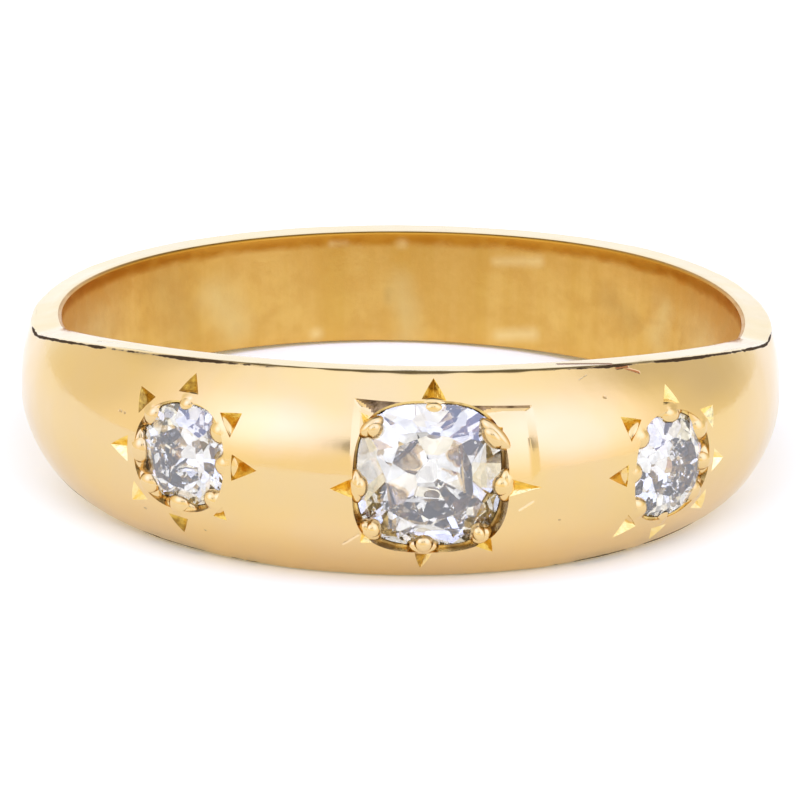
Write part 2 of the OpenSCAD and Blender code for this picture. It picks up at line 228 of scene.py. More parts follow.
BROWN_INSIDE_MARKS = [
    (182.2, -0.12, BORE_R, 182.2, -0.34, BORE_R, 0.1),
    (226.7, 0.65, BORE_R, 221.9, -0.56, BORE_R, 0.5),
    (139.4, 0.28, BORE_R, 134.6, -0.13, BORE_R, 0.3),
]
# Deeper gold on the inside along the upper edge: how far down it reaches
RIM_BAND = 0.55

# How far a mark's edge lies from its middle line, as shares of its half width: where it is full and where it
# has gone
MARK_FULL, MARK_GONE = 0.4, 1.5
# Noise a millimetre along the edges of crisp and of soft marks
CRISP_NOISE, SOFT_NOISE = 9.0, 1.1

# Camera: distance and direction seen from the ring's centre, how far it aims below that centre, roll and
# focal length, in the ring's own frame
VIEW_DISTANCE = 123.9
VIEW_RISE = 15.26
VIEW_TURN = -0.35
VIEW_ROLL = 1.05
VIEW_DROP = 0.726
LENS = 221.65


def blend(angle, head, side, back):
    """Quadratic in the cosine through a value at the head, the sides and the back."""
    c = np.cos(np.radians(angle))
    return side + (head - back) / 2 * c + ((head + back) / 2 - side) * c * c


def wrap(angle):
    """Signed angle in the range -180 to 180."""
    return angle - 360 * np.round(angle / 360)


def soft_ramp(x):
    """A ramp that is zero below zero, with a soft foot."""
    return TAPER_BLEND * np.log1p(np.exp(x / TAPER_BLEND))


def half_width(angle):
    """Height of the lower flat below the middle: half the band's width at an angle."""
    ramp = soft_ramp(1 - (np.abs(wrap(angle)) / TAPER_ANGLE) ** TAPER_FULLNESS) / soft_ramp(1.0)
    return (SHANK_W + (HEAD_W - SHANK_W) * ramp) / 2


def swell(angle, middle, spread):
    """One at the middle angle, fading to zero on both sides."""
    return np.exp(-((wrap(angle - middle) / spread) ** 2))


def top_height(angle):
    """Height of the upper flat, which stands up a little at the back right."""
    return half_width(angle) + SHOULDER_RISE * swell(angle, SHOULDER_ANGLE, SHOULDER_SPREAD)


def edge_height(angle, z):
    """Height of the worn outer edge of the upper flat, or of the lower one for z below zero."""
    left = LEFT_WEAR * swell(angle, -WEAR_ANGLE, WEAR_SPREAD)
    right = RIGHT_WEAR * swell(angle, WEAR_ANGLE, WEAR_SPREAD)
    return np.where(np.asarray(z) > 0, top_height(angle), half_width(angle)) - (left + right)


def land(angle):
    """Radial width of the flats."""
    return blend(angle, HEAD_LAND, SIDE_LAND, BACK_LAND)


def skin_r(angle, z):
    """Radius of the domed outside at an angle and a height."""
    rise = blend(angle, HEAD_T, SIDE_T, BACK_T) - land(angle)
    share = np.minimum(1.0, np.abs(z) / edge_height(angle, z))
    return BORE_R + land(angle) + rise * (1 - share ** DOME_FULLNESS)


def at(angle, r, z):
    """The point at an angle, a radius and a height."""
    a = np.radians(angle)
    return np.stack(np.broadcast_arrays(r * np.sin(a), -r * np.cos(a), z), axis=-1)


def skin(angle, z):
    """The point of the domed outside at an angle and a height."""
    return at(angle, skin_r(angle, z), z)


def skin_normal(angle, z, step_a=0.4, step_z=0.04):
    """The way straight out from the domed outside."""
    round_ring = skin(angle + step_a, z) - skin(angle - step_a, z)
    along_finger = skin(angle, z + step_z) - skin(angle, z - step_z)
    n = np.cross(round_ring, along_finger)
    return n / np.linalg.norm(n, axis=-1, keepdims=True)


def edge_round(angles, side):
    """Reach of the softened edge, uneven from wear. side is 1 for the upper edge and -1 for the lower."""
    a = np.radians(angles)
    wave = sum(size * np.sin(count * a + phase * side) for count, phase, size in EDGE_WAVES)
    return EDGE_ROUND * (1 + EDGE_VARIES * wave / EDGE_WAVES_FULL)


def section(angles):
    """Closed sections of the band, from the top mouth of the finger hole over the flat and the dome to the
    bottom mouth and back up inside. Gives the radius and the height of each point, one row an angle."""
    top, bottom = top_height(angles), half_width(angles)
    top_edge, bottom_edge = edge_height(angles, 1), edge_height(angles, -1)
    r_edge = BORE_R + land(angles)
    r_mouth = BORE_R + BEVEL_R
    top_start = top_edge - EDGE_INTO_DOME * edge_round(angles, 1)
    bottom_start = bottom_edge - EDGE_INTO_DOME * edge_round(angles, -1)
    rows = []

    def put(r, z):
        rows.append((r + 0 * angles, z + 0 * angles))

    def corner(side, t):
        """Points of the softened edge: a curve from the flat to the dome, drawn by the sharp corner between
        them. side is 1 for the upper edge and -1 for the lower."""
        upper, lower = (top, top_edge, top_start), (bottom, bottom_edge, bottom_start)
        mouth_z, edge_z, start = upper if side > 0 else lower
        flat_reach = edge_round(angles, side)
        flat_z = side * (edge_z + (mouth_z - edge_z) * flat_reach / (r_edge - r_mouth))
        dome_z = side * start
        a, b, c = (1 - t) ** 2, 2 * t * (1 - t), t * t
        r = a * (r_edge - flat_reach) + b * r_edge + c * skin_r(angles, dome_z)
        return r, a * flat_z + b * side * edge_z + c * dome_z

    mouth = np.radians(np.linspace(0, 90, 6))[1:]
    curve = np.linspace(0, 1, 8)
    for t in mouth:
        put(BORE_R + BEVEL_R * (1 - math.cos(t)), top - BEVEL_H * (1 - math.sin(t)))
    for f in FLAT_SHARES:
        put(r_mouth + (r_edge - r_mouth) * f, top + (top_edge - top) * f)
    for t in curve:
        put(*corner(1, t))
    for i in range(1, DOME_PANELS):
        share = math.cos(math.pi * i / DOME_PANELS)
        z = share * np.where(share > 0, top_start, bottom_start)
        put(skin_r(angles, z), z)
    for t in curve[::-1]:
        put(*corner(-1, t))
    for f in FLAT_SHARES[::-1]:
        put(r_mouth + (r_edge - r_mouth) * f, -bottom + (bottom - bottom_edge) * f)
    for t in mouth[::-1]:
        put(BORE_R + BEVEL_R * (1 - math.cos(t)), -bottom + BEVEL_H * (1 - math.sin(t)))
    for i in range(INSIDE_PANELS + 1):
        put(BORE_R, (BEVEL_H - bottom) + (top + bottom - 2 * BEVEL_H) * i / INSIDE_PANELS)
    return np.array([r for r, _ in rows]).T, np.array([z for _, z in rows]).T


def rest_pose():
    """How the ring lies: the lean about x and the move that follows it."""
    lean = math.atan((half_width(0.0) - half_width(180.0)) / (2 * BORE_R + BEVEL_R + BACK_LAND))
    angles = np.arange(0, 360, 3.0)
    dome_panels = 14
    mouth = BORE_R + BEVEL_R
    pts = [at(angles, mouth, top_height(angles)), at(angles, mouth, -half_width(angles))]
    for i in range(dome_panels + 1):
        share = math.sin(math.radians(90 - 180 * i / dome_panels))
        pts.append(skin(angles, share * edge_height(angles, share)))
    p = np.concatenate(pts) @ Matrix.Rotation(-lean, 3, "X").transposed()
    low, high = p.min(axis=0), p.max(axis=0)
    return lean, Vector((-(low[0] + high[0]) / 2, -(low[1] + high[1]) / 2, -low[2]))


LEAN, MOVE = rest_pose()
LAY = Matrix.Scale(MM, 4) @ Matrix.Translation(MOVE) @ Matrix.Rotation(-LEAN, 4, "X")


def mesh_of(name, points, faces, materials=(), slots=None):
    """A mesh object from points in the ring's own frame, with a material slot for each face."""
    mesh = bpy.data.meshes.new(name)
    mesh.from_pydata([tuple(p) for p in np.asarray(points, dtype=float)], [], [tuple(f) for f in faces])
    for material in materials:
        mesh.materials.append(material)
    if slots is not None:
        mesh.polygons.foreach_set("material_index", np.asarray(slots, dtype=np.int32))
    mesh.update()
    obj = bpy.data.objects.new(name, mesh)
    bpy.context.scene.collection.objects.link(obj)
    return obj


def joined(name, parts, *materials):
    """One mesh object from (points, faces) pairs, or from triples that also give each face's slot."""
    points, faces, slots, base = [], [], [], 0
    for p, f, *own in parts:
        points.append(np.asarray(p, dtype=float))
        faces += [tuple(base + i for i in face) for face in f]
        slots += own[0] if own else [0] * len(f)
        base += len(p)
    return mesh_of(name, np.concatenate(points), faces, materials, slots)


def outward(obj):
    """Turns the faces of a closed mesh outwards."""
    bm = bmesh.new()
    bm.from_mesh(obj.data)
    bmesh.ops.recalc_face_normals(bm, faces=bm.faces)
    bm.to_mesh(obj.data)
    bm.free()
    return obj


# Stones

def girdle_r(stone):
    """Radius at which a stone's girdle lies, a little under the metal at its top and bottom."""
    z = np.array([stone["lift"] + stone["half_h"], stone["lift"] - stone["half_h"]])
    return float(skin_r(np.full(2, stone["angle"]), z).min()) - GIRDLE_DEPTH


def stone_frame(stone):
    """Matrix from a stone's own frame to the ring's: x runs round the ring, y along the finger and z out."""
    a = math.radians(stone["angle"])
    out = Vector((math.sin(a), -math.cos(a), 0))
    along = Vector((math.cos(a), math.sin(a), 0))
    m = Matrix((along, (0, 0, 1), out)).transposed().to_4x4()
    m.translation = out * girdle_r(stone) + Vector((0, 0, stone["lift"]))
    return m


def reach(stone, turn):
    """Distance from the middle to a straight edge that touches the outline from a direction."""
    q = stone["square"] / (stone["square"] - 1)
    t = math.radians(turn)
    return (abs(stone["half_w"] * math.cos(t)) ** q + abs(stone["half_h"] * math.sin(t)) ** q) ** (1 / q)


def edge_distance(stone, turn):
    """Distance from the middle to the outline in a direction."""
    t = math.radians(turn)
    n = stone["square"]
    return (abs(math.cos(t) / stone["half_w"]) ** n + abs(math.sin(t) / stone["half_h"]) ** n) ** (-1 / n)


def outline(stone, margin, count=96):
    """The cushion outline of a stone, grown by a margin."""
    out = []
    for i in range(count):
        t = 2 * math.pi * i / count
        c, s = math.cos(t), math.sin(t)
        power = 2 / stone["square"]
        out.append((
            (stone["half_w"] + margin) * math.copysign(abs(c) ** power, c),
            (stone["half_h"] + margin) * math.copysign(abs(s) ** power, s),
        ))
    return np.array(out)


def beside(stone, turn, distance):
    """Angle and height on the skin of a point beside a stone."""
    t = math.radians(turn)
    r = float(skin_r(stone["angle"], stone["lift"]))
    return (
        stone["angle"] + math.degrees(math.asin(distance * math.cos(t) / r)),
        stone["lift"] + distance * math.sin(t),
    )


def beside_off(stone, turn, distance, off):
    """The same for a point that is also off to one side of that direction."""
    return beside(stone, turn + math.degrees(math.atan2(off, distance)), math.hypot(distance, off))


def to_ring(m, points):
    """Points of a stone's own frame in the ring's frame."""
    p = np.asarray(points, dtype=float)
    r = np.array(m.to_3x3())
    return p @ r.T + np.array(m.translation)


def prism(stone, rings, count=96):
    """A closed solid through the stone's outline at several heights, given as (margin, height)."""
    m = stone_frame(stone)
    points, faces = [], []
    for margin, height in rings:
        o = outline(stone, margin, count)
        points.append(to_ring(m, np.column_stack([o, np.full(count, height)])))
    for k in range(len(rings) - 1):
        for i in range(count):
            j = (i + 1) % count
            faces.append((k * count + i, k * count + j, (k + 1) * count + j, (k + 1) * count + i))
    faces.append(tuple(range(count))[::-1])
    faces.append(tuple((len(rings) - 1) * count + i for i in range(count)))
    return np.concatenate(points), faces


def cut_solid(stone, row):
    """One engraved cut: a three sided pit, deepest near the stone, its tip pointing away. Its slots follow
    TONES, the light or shade painted on each wall."""
    turn = row[0]
    near, far = row[1] * stone["half_w"], row[2] * stone["half_w"]
    width, depth = row[3] * CUT_W, row[4] * CUT_DEPTH
    heel = near + CUT_HEEL * (far - near)
    place = beside(stone, turn, heel)
    deep = skin(*place) - depth * skin_normal(*place)
    rim = [
        skin(*beside(stone, turn, far)),
        skin(*beside_off(stone, turn, near, width / 2)),
        skin(*beside_off(stone, turn, near, -width / 2)),
    ]
    above = [deep + CUT_OVERSHOOT * (p - deep) for p in rim]
    slots = [0] + [TONES.index(tone) for tone in row[5]]
    return [deep] + above, [(1, 3, 2), (0, 1, 2), (0, 2, 3), (0, 3, 1)], slots


def ball(centre, axes, segments=20, rings=12):
    """A closed ellipsoid. axes are three half axis vectors."""
    points = [centre + axes[2]]
    for i in range(1, rings):
        t = math.pi * i / rings
        for j in range(segments):
            s = 2 * math.pi * j / segments
            level = math.cos(s) * axes[0] + math.sin(s) * axes[1]
            points.append(centre + math.sin(t) * level + math.cos(t) * axes[2])
    points.append(centre - axes[2])
    faces = []
    last = len(points) - 1
    for j in range(segments):
        k = (j + 1) % segments
        faces.append((0, 1 + j, 1 + k))
        for i in range(rings - 2):
            a, b = 1 + i * segments, 1 + (i + 1) * segments
            faces.append((a + j, b + j, b + k, a + k))
        a = 1 + (rings - 2) * segments
        faces.append((a + j, last, a + k))
    return points, faces


def grain_solid(stone, row):
    """The gold pushed over the stone's edge beside a cut, as a bead and its root: high at the stone and
    sinking into the skin behind."""
    turn, near, width = row[0], row[1] * stone["half_w"], row[3] * CUT_W
    edge = edge_distance(stone, turn)
    inner = edge - GRAIN_OVER
    outer = max(near + GRAIN_BEHIND, edge + GRAIN_OUT)
    middle = (inner + outer) / 2
    place = beside(stone, turn, middle)
    n = skin_normal(*place)
    step = 0.05
    out = skin(*beside(stone, turn, middle + step)) - skin(*beside(stone, turn, middle - step))
    out -= n * np.dot(out, n)
    out /= np.linalg.norm(out)
    side = np.cross(n, out)
    lean = math.radians(GRAIN_LEAN)
    along = out * math.cos(lean) - n * math.sin(lean)
    thick = n * math.cos(lean) + out * math.sin(lean)
    size = 1 + GRAIN_VARIES * math.sin(3.7 * turn + stone["angle"])
    bead = skin(*place) - n * (GRAIN_HALF_T - GRAIN_RISE * size)
    root = skin(*beside(stone, turn, middle + ROOT_OUT)) - n * (GRAIN_HALF_T - ROOT_RISE)
    reach_out = (outer - inner) / 2
    return [
        ball(bead, [along * reach_out, side * GRAIN_WIDE * width * size, thick * GRAIN_HALF_T]),
        ball(root, [out * reach_out, side * ROOT_WIDE * width * size, n * GRAIN_HALF_T]),
    ]


def bed_solid(stone, floor_material, slope_material):
    """Shallow bed filed round the centre stone, with slopes at its top, left and right sides. The upper
    slope is broader above the stone's corners, and part of it takes the slope material, a painted shade."""
    columns, rows = 72, 64
    u = np.linspace(-BED_LEFT, BED_RIGHT, columns + 1)
    top = BED_TOP_LEFT + (BED_TOP_RIGHT - BED_TOP_LEFT) * (u + BED_LEFT) / (BED_LEFT + BED_RIGHT)
    r = float(skin_r(stone["angle"], stone["lift"]))
    angle = stone["angle"] + np.degrees(np.arcsin(u / r))
    side = np.minimum((u + BED_LEFT) / BED_SLOPE, (BED_RIGHT - u) / BED_SLOPE)
    corners = sum(share * np.exp(-(((u - place) / spread) ** 2)) for place, spread, share in BED_CORNERS)
    run = BED_LINE + BED_CORNER * corners
    shaded = np.where((u > -BED_LEFT + 0.1) & (u < BED_RIGHT - 0.1), BED_SHADE_LEAST, 0)
    for start, stop in BED_SHADES:
        shaded = np.maximum(shaded, np.clip(np.minimum(u - start, stop - u) / BED_SHADE_ENDS, 0, 1))
    low, high, shade = [], [], []
    for k in range(rows + 1):
        v = top + (BED_FADE_LOW - BED_PAST - top) * (k / rows) ** BED_CROWDING
        z = stone["lift"] + v
        fade = np.clip((v - BED_FADE_LOW) / (BED_FADE_HIGH - BED_FADE_LOW), -0.4, 1)
        fade = np.where(fade > 0, fade * fade * (3 - 2 * fade), fade)
        slope = np.clip(np.minimum(side, (top - v) / run), 0, 1)
        shade.append((top - v) < run * shaded)
        depth = BED_DEPTH * fade * slope - BED_OFF_SKIN * (slope <= 0)
        n = skin_normal(angle, z)
        p = skin(angle, z)
        low.append(p - n * depth[:, None])
        high.append(p + n * BED_ABOVE)
    points = np.concatenate(low + high)
    c = columns + 1
    count = c * (rows + 1)
    faces, slots = [], []
    for k in range(rows):
        for i in range(columns):
            a = k * c + i
            faces.append((a, a + 1, a + c + 1, a + c))
            faces.append((count + a, count + a + c, count + a + c + 1, count + a + 1))
            slots += [int(shade[k][i]), 0]
    for i in range(columns):
        b = rows * c + i
        faces.append((i, count + i, count + i + 1, i + 1))
        faces.append((b, b + 1, count + b + 1, count + b))
    for k in range(rows):
        a, b = k * c, k * c + columns
        faces.append((a, a + c, count + a + c, count + a))
        faces.append((b, count + b, count + b + c, b + c))
    slots += [0] * (len(faces) - len(slots))
    return mesh_of("cutter_bed", points, faces, [floor_material, slope_material], slots)


def band_blank(polished, inside):
    """The band before anything is cut, with its sections closer together at the head."""
    head = np.arange(-HEAD_SPAN, HEAD_SPAN, HEAD_STEP)
    back = np.arange(HEAD_SPAN, 360 - HEAD_SPAN, BACK_STEP)
    angles = np.concatenate([head, back])
    r, z = section(angles)
    inside_r = BORE_R + 0.7 * BEVEL_R
    rings = [at(angles[i], r[i], z[i]) for i in range(len(angles))]
    n, k = len(rings), len(rings[0])
    faces, slots = [], []
    for s in range(n):
        t = (s + 1) % n
        for i in range(k):
            j = (i + 1) % k
            faces.append((s * k + i, t * k + i, t * k + j, s * k + j))
            slots.append(1 if max(r[s][i], r[s][j]) < inside_r else 0)
    return mesh_of("gold_band", np.concatenate(rings), faces, [polished, inside], slots)


def build_band(polished, inside, engraved, seated, shaded):
    """The band with its bed, cuts, seats, holes and grains, laid on the ground."""
    band = outward(band_blank(polished, inside))
    cuts = [cut_solid(STONES[name], row) for name in STONES for row in CUTS[name]]
    pushed = [grain_solid(STONES[name], row) for name in STONES for row in CUTS[name]]
    grains, roots = [bead for bead, _ in pushed], [root for _, root in pushed]
    seats, pockets, holes = [], [], []
    for stone in STONES.values():
        half = stone["half_w"]
        crown = 2 * half * CROWN_SHARE
        pavilion = 2 * half * PAVILION_SHARE
        gap = STONE_GAP
        seats.append(prism(stone, SEAT_WALLS))
        table = -half * (1 - TABLE_SHARE)
        culet = -half * (1 - CULET_SHARE)
        pockets.append(prism(stone, [
            (culet + gap, -GIRDLE_T - pavilion - gap),
            (gap, -GIRDLE_T),
            (gap, 0),
            (table + gap, crown + gap),
        ]))
        holes.append(prism(stone, [(-half * HOLE_SHARE, end) for end in HOLE_ENDS]))
    steps = [
        ("DIFFERENCE", bed_solid(STONES["centre"], polished, shaded)),
        ("DIFFERENCE", joined("cutter_stars", cuts, *engraved)),
        ("DIFFERENCE", joined("cutter_seats", seats, seated)),
        ("DIFFERENCE", joined("cutter_holes", holes, seated)),
        ("UNION", joined("adder_roots", roots, polished)),
        ("UNION", joined("adder_grains", grains, polished)),
        ("DIFFERENCE", joined("cutter_pockets", pockets, seated)),
    ]
    for operation, other in steps:
        outward(other)
        mod = band.modifiers.new(other.name, "BOOLEAN")
        mod.operation = operation
        mod.object = other
        mod.solver = "MANIFOLD"
        mod.material_mode = "TRANSFER"
    bpy.context.view_layer.update()
    done = bpy.data.meshes.new_from_object(band.evaluated_get(bpy.context.evaluated_depsgraph_get()))
    band.modifiers.clear()
    band.data = done
    done.name = "gold_band"
    for _, other in steps:
        bpy.data.objects.remove(other)
    add_ring_map(done)
    done.transform(LAY)
    for p in done.polygons:
        p.use_smooth = True
    done.set_sharp_from_angle(angle=math.radians(SHARP_ANGLE))
    return band


def add_ring_map(mesh):
    """UV map with the way round the ring and the height along the finger, both in millimetres, a value that
    is high under the outer edges of the flats, where a dark line of shade is painted, and one that is high
    inside along the upper edge."""
    co = np.empty(len(mesh.vertices) * 3)
    mesh.vertices.foreach_get("co", co)
    co = co.reshape(-1, 3)
    angle = np.degrees(np.arctan2(co[:, 0], -co[:, 1]))
    outside = np.hypot(co[:, 0], co[:, 1]) - BORE_R - land(angle)
    below = edge_height(angle, co[:, 2]) - np.abs(co[:, 2])
    line = np.clip(1 - np.abs(below - SHADE_LINE_BELOW) / SHADE_LINE_REACH, 0, 1)
    line *= np.clip(1 + outside / SHADE_LINE_REACH, 0, 1)
    line *= 0.5 + 0.5 * np.clip((np.abs(angle) - SHADE_LINE_WEAK) / (SHADE_LINE_FULL - SHADE_LINE_WEAK), 0, 1)
    line *= np.clip((SHADE_LINE_ENDS - np.abs(angle)) / (SHADE_LINE_ENDS - SHADE_LINE_FADES), 0, 1)
    mesh.attributes.new("edge_shade_mask", "FLOAT", "POINT").data.foreach_set("value", line)
    band = np.clip(1 - (top_height(angle) - co[:, 2]) / RIM_BAND, 0, 1)
    mesh.attributes.new("rim_band", "FLOAT", "POINT").data.foreach_set("value", band)
    uv = np.empty((len(mesh.loops), 2))
    for p in mesh.polygons:
        loops = list(p.loop_indices)
        a = angle[[mesh.loops[i].vertex_index for i in loops]]
        a = a[0] + wrap(a - a[0])
        uv[loops, 0] = np.radians(a) * (BORE_R + 1)
        uv[loops, 1] = co[[mesh.loops[i].vertex_index for i in loops], 2]
    layer = mesh.uv_layers.new(name="ring")
    layer.data.foreach_set("uv", uv.ravel())


def faceted_stone(stone, name):
    """Old mine cut stone: its outline sliced by the planes of its facets, a little uneven as hand cut."""
    top = 2 * stone["half_w"] * CROWN_SHARE
    bottom = -GIRDLE_T - 2 * stone["half_w"] * PAVILION_SHARE
    rim = outline(stone, 0)
    n = len(rim)
    bm = bmesh.new()
    lower = [bm.verts.new((x, y, bottom)) for x, y in rim]
    upper = [bm.verts.new((x, y, top)) for x, y in rim]
    bm.faces.new(lower[::-1])
    bm.faces.new(upper)
    for i in range(n):
        j = (i + 1) % n
        bm.faces.new((lower[i], lower[j], upper[j], upper[i]))
    seed = stone["angle"]
    state = {"k": 0}

    def uneven(amount):
        """The stone's next uneven value between minus and plus an amount."""
        state["k"] += 1
        return amount * math.sin(seed * 12.9898 + state["k"] * 78.233)

    def facet(turn, outer, inner):
        """Slices off what lies beyond the plane through two points, each a distance from the middle and a
        height."""
        run, rise = outer[0] - inner[0], inner[1] - outer[1]
        t = math.radians(turn + uneven(STONE_TWIST))
        tilt = math.radians(uneven(STONE_TILT))
        lean = math.atan2(abs(rise), run) + tilt
        sign = 1 if rise > 0 else -1
        normal = Vector((math.cos(t) * math.sin(lean), math.sin(t) * math.sin(lean), sign * math.cos(lean)))
        point = Vector((math.cos(t) * outer[0], math.sin(t) * outer[0], outer[1]))
        everything = bm.verts[:] + bm.edges[:] + bm.faces[:]
        cut = bmesh.ops.bisect_plane(
            bm, geom=everything, dist=1e-7, plane_co=point, plane_no=normal, clear_outer=True)
        edges = [e for e in cut["geom_cut"] if isinstance(e, bmesh.types.BMEdge)]
        if len(edges) > 2:
            bmesh.ops.contextual_create(bm, geom=edges)

    wide = math.cos(math.radians(22.5))
    for k in range(8):
        r = reach(stone, 45 * k)
        facet(45 * k, (r, 0), (r * TABLE_SHARE / wide, top))
        facet(45 * k, (r, -GIRDLE_T), (r * CULET_SHARE, bottom))
        star = reach(stone, 22.5 + 45 * k) * TABLE_SHARE
        facet(22.5 + 45 * k, (star + top, top - top * math.tan(math.radians(24))), (star, top))
    for k in range(16):
        turn = 11.25 + 22.5 * k
        r = reach(stone, turn)
        upper_lean = math.atan2(top, r * (1 - TABLE_SHARE / wide)) + math.radians(GIRDLE_FACET_LEAN)
        lower_lean = math.atan2(-bottom - GIRDLE_T, r * (1 - CULET_SHARE)) + math.radians(GIRDLE_FACET_LEAN)
        facet(turn, (r, 0), (0, r * math.tan(upper_lean)))
        facet(turn, (r, -GIRDLE_T), (0, -GIRDLE_T - r * math.tan(lower_lean)))
    bmesh.ops.remove_doubles(bm, verts=bm.verts, dist=1e-6)
    bmesh.ops.recalc_face_normals(bm, faces=bm.faces)
    mesh = bpy.data.meshes.new(name)
    bm.to_mesh(mesh)
    bm.free()
    mesh.transform(LAY @ stone_frame(stone))
    obj = bpy.data.objects.new(name, mesh)
    bpy.context.scene.collection.objects.link(obj)
    return obj


# Colours of the gold: the two tints outside and inside, the marks on each, and the seats
YELLOW = (0.755, 0.53, 0.217, 1)
PALER_YELLOW = (0.735, 0.523, 0.245, 1)
COPPERY = (0.46, 0.18, 0.06, 1)
# Pale painted glint of the bright marks
RUBBED_GLINT = (0.92, 0.74, 0.44, 1)
SPOTTED = (0.36, 0.21, 0.08, 1)
# Painted dark line of shade under the outer edges of the flats
PAINTED_SHADE_LINE = (0.06, 0.035, 0.015, 1)
# Inside colours, darker and deeper than the outside's: painted shade inside the hoop
INSIDE_DEEP = (0.695, 0.415, 0.087, 1)
INSIDE_LIGHT = (0.76, 0.48, 0.128, 1)
INSIDE_BLOTCH = (0.635, 0.365, 0.077, 1)
INSIDE_BROWN = (0.56, 0.34, 0.09, 1)
INSIDE_WORN = (0.74, 0.53, 0.19, 1)
INSIDE_RIM = (0.56, 0.27, 0.03, 1)
INSIDE_RUBBED = (0.93, 0.76, 0.36, 1)
SEAT_CLEAN = (0.72, 0.50, 0.17, 1)
SEAT_DIRTY = (0.34, 0.21, 0.07, 1)
# The walls of the cuts with painted light and shade, in the order of TONES, and the painted shade of the
# bed's slope
ENGRAVED = [
    ("engraved_painted_light", (0.90, 0.68, 0.26, 1), (0.96, 0.80, 0.40, 1)),
    ("engraved_amber", (0.66, 0.40, 0.06, 1), (0.86, 0.60, 0.14, 1)),
    ("engraved_painted_shade", (0.27, 0.14, 0.025, 1), (0.66, 0.42, 0.07, 1)),
]
SHADED = ("shaded_gold", (0.12, 0.07, 0.03, 1), (0.38, 0.25, 0.12, 1))
# The diamonds in their darker painted patches and where clear, and the floor with the light that it gives
PAINTED_DARK_PATCH = (0.64, 0.60, 0.50, 1)
CLEAR = (0.96, 0.93, 0.82, 1)
DIAMOND_IOR = 2.42
FLOOR = (0.97, 0.95, 0.87, 1)
FLOOR_LIGHT = (0.96, 1.0, 0.66, 1)
FLOOR_STRENGTH = 0.13


class Net:
    """Short forms for building a node tree."""

    def __init__(self, tree):
        self.tree = tree
        tree.nodes.clear()

    def put(self, socket, value):
        """Links a socket to another one, or sets its value."""
        if isinstance(value, bpy.types.NodeSocket):
            self.tree.links.new(value, socket)
        else:
            socket.default_value = value

    def node(self, kind, inputs=None, **settings):
        node = self.tree.nodes.new(kind)
        for key, value in settings.items():
            setattr(node, key, value)
        for key, value in (inputs or {}).items():
            self.put(node.inputs[key], value)
        return node

    def maths(self, operation, a, b=None, clamp=False):
        node = self.node("ShaderNodeMath", operation=operation, use_clamp=clamp)
        self.put(node.inputs[0], a)
        if b is not None:
            self.put(node.inputs[1], b)
        return node.outputs[0]

    def vector(self, operation, a, b=None, c=None, scale=None, output="Vector"):
        node = self.node("ShaderNodeVectorMath", operation=operation)
        self.put(node.inputs[0], a)
        if b is not None:
            self.put(node.inputs[1], b)
        if c is not None:
            self.put(node.inputs[2], c)
        if scale is not None:
            self.put(node.inputs["Scale"], scale)
        return node.outputs[output]

    def ramp(self, value, from_min, from_max, to_min=0.0, to_max=1.0):
        node = self.node("ShaderNodeMapRange", {
            "Value": value, "From Min": from_min, "From Max": from_max, "To Min": to_min, "To Max": to_max,
        }, interpolation_type="SMOOTHSTEP")
        return node.outputs[0]

    def noise(self, vector, scale, detail=3.0, roughness=0.5):
        node = self.node("ShaderNodeTexNoise", {
            "Vector": vector, "Scale": scale, "Detail": detail, "Roughness": roughness,
        })
        return node.outputs[0]

    def mix(self, share, a, b):
        node = self.node("ShaderNodeMix", data_type="RGBA")
        self.put(node.inputs[0], share)
        self.put(node.inputs[6], a)
        self.put(node.inputs[7], b)
        return node.outputs[2]

    def bump(self, height, depth_mm, below=None):
        inputs = {"Height": height, "Strength": 1.0, "Distance": depth_mm * MM}
        if below is not None:
            inputs["Normal"] = below
        return self.node("ShaderNodeBump", inputs).outputs[0]


def surface(name):
    """A new material with its node tree, a Principled shader and the place on the part in millimetres."""
    material = bpy.data.materials.new(name)
    material.use_nodes = True
    net = Net(material.node_tree)
    bsdf = net.node("ShaderNodeBsdfPrincipled")
    net.put(net.node("ShaderNodeOutputMaterial").inputs[0], bsdf.outputs[0])
    place = net.vector("SCALE", net.node("ShaderNodeTexCoord").outputs["Object"], scale=1 / MM)
    return material, net, bsdf, place


def stretched(net, place, x, y, z):
    """The place with its axes scaled, for a pattern that is long or short along them."""
    return net.vector("MULTIPLY", place, (x, y, z))


def mark_end(angle, z, r):
    """Place of one end of a wear mark on the part, in millimetres."""
    if r > BORE_R:
        inner, outer = BORE_R + BEVEL_R, BORE_R + land(angle)
        top = float(top_height(angle))
        z = top + (float(edge_height(angle, 1)) - top) * (r - inner) / (outer - inner)
    return LAY @ Vector(at(angle, r or skin_r(angle, z), z).tolist()) / MM


def marks(net, place, table, ragged=0.03, soft=0.0):
    """A mask of short marks, one in the middle of each and zero away from them. ragged is how far their
    edges wander in millimetres and soft is how far they fade, as a share of the half width."""
    mask = 0.0
    wander = net.noise(place, CRISP_NOISE if soft == 0 else SOFT_NOISE, 1.0)
    wander = net.maths("MULTIPLY", wander, ragged)
    for row in table:
        start, end = mark_end(*row[:3]), mark_end(*row[3:6])
        way = end - start
        offset = net.vector("SUBTRACT", place, start)
        share = net.vector("DOT_PRODUCT", offset, way / way.length_squared, output="Value")
        share = net.maths("ADD", share, 0.0, clamp=True)
        nearest = net.vector("SCALE", way, scale=share)
        away = net.vector("LENGTH", net.vector("SUBTRACT", offset, nearest), output="Value")
        away = net.maths("ADD", away, wander)
        near = row[6] * (MARK_FULL - soft) + ragged / 2
        far = row[6] * (MARK_GONE + soft) + ragged / 2
        mask = net.maths("MAXIMUM", mask, net.ramp(away, far, near))
    return mask


